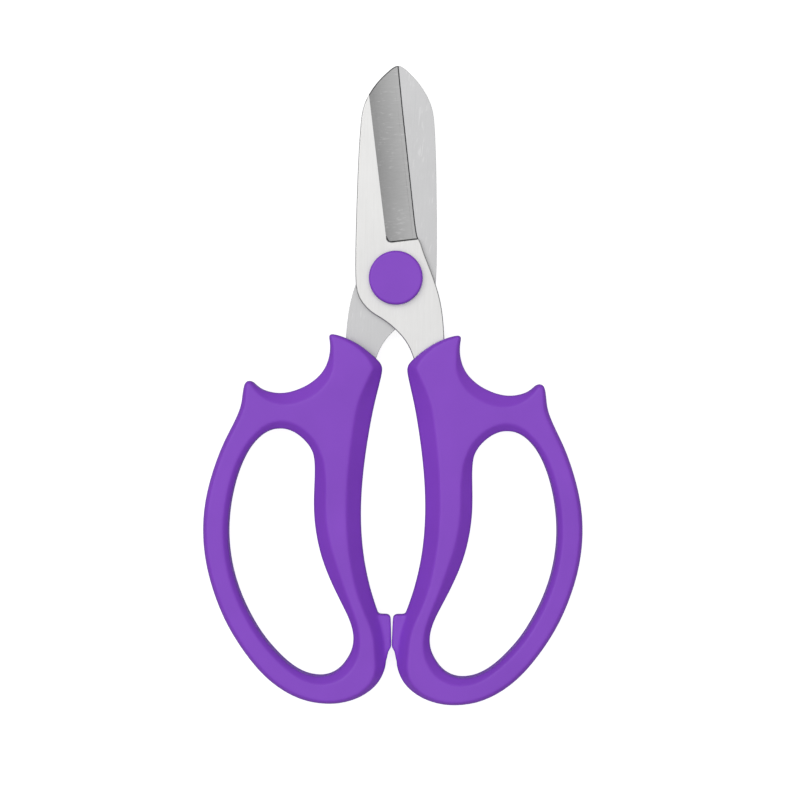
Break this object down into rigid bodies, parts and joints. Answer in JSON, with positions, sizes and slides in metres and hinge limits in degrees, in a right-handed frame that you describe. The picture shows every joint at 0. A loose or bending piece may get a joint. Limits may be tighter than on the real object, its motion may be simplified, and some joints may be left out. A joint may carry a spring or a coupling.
{
  "type": "floral scissors",
  "caption": "Short, broad-bladed scissors with large moulded loop handles, finger spurs, stop tabs and a covered pivot.",
  "frame": {"origin": "on the pivot's axis, at the rear cap's flat face, which lies in the plane that the scissors rest on", "axes": "+Y towards the blades' tips, +Z out of the front cap, +X towards the right handle as seen from the front"},
  "size_m": [0.107, 0.1802, 0.012],
  "materials": {
    "blade_steel": "satin stainless steel, ground along the blade and hollow ground across the band by the edge",
    "handle_plastic": "satin moulded polypropylene, purple",
    "cap_plastic": "satin moulded plastic, purple",
    "pivot_steel": "zinc-plated turned steel",
    "spring_steel": "dark spring steel"
  },
  "bodies": {
    "front_half": {"front_blade": "blade_steel", "right_handle": "handle_plastic", "pivot_bolt": "pivot_steel", "pivot_nut": "pivot_steel", "front_washer": "pivot_steel", "rear_washer": "pivot_steel", "spring_washer": "spring_steel", "front_cap": "cap_plastic", "rear_cap": "cap_plastic"},
    "rear_half": {"rear_blade": "blade_steel", "left_handle": "handle_plastic"}
  },
  "joints": [
    {"name": "blade_pivot", "type": "hinge", "parent": "front_half", "child": "rear_half", "pos_m": [0, 0, 0.006], "axis": [0, 0, -1], "range_deg": [0, 90]}
  ]
}
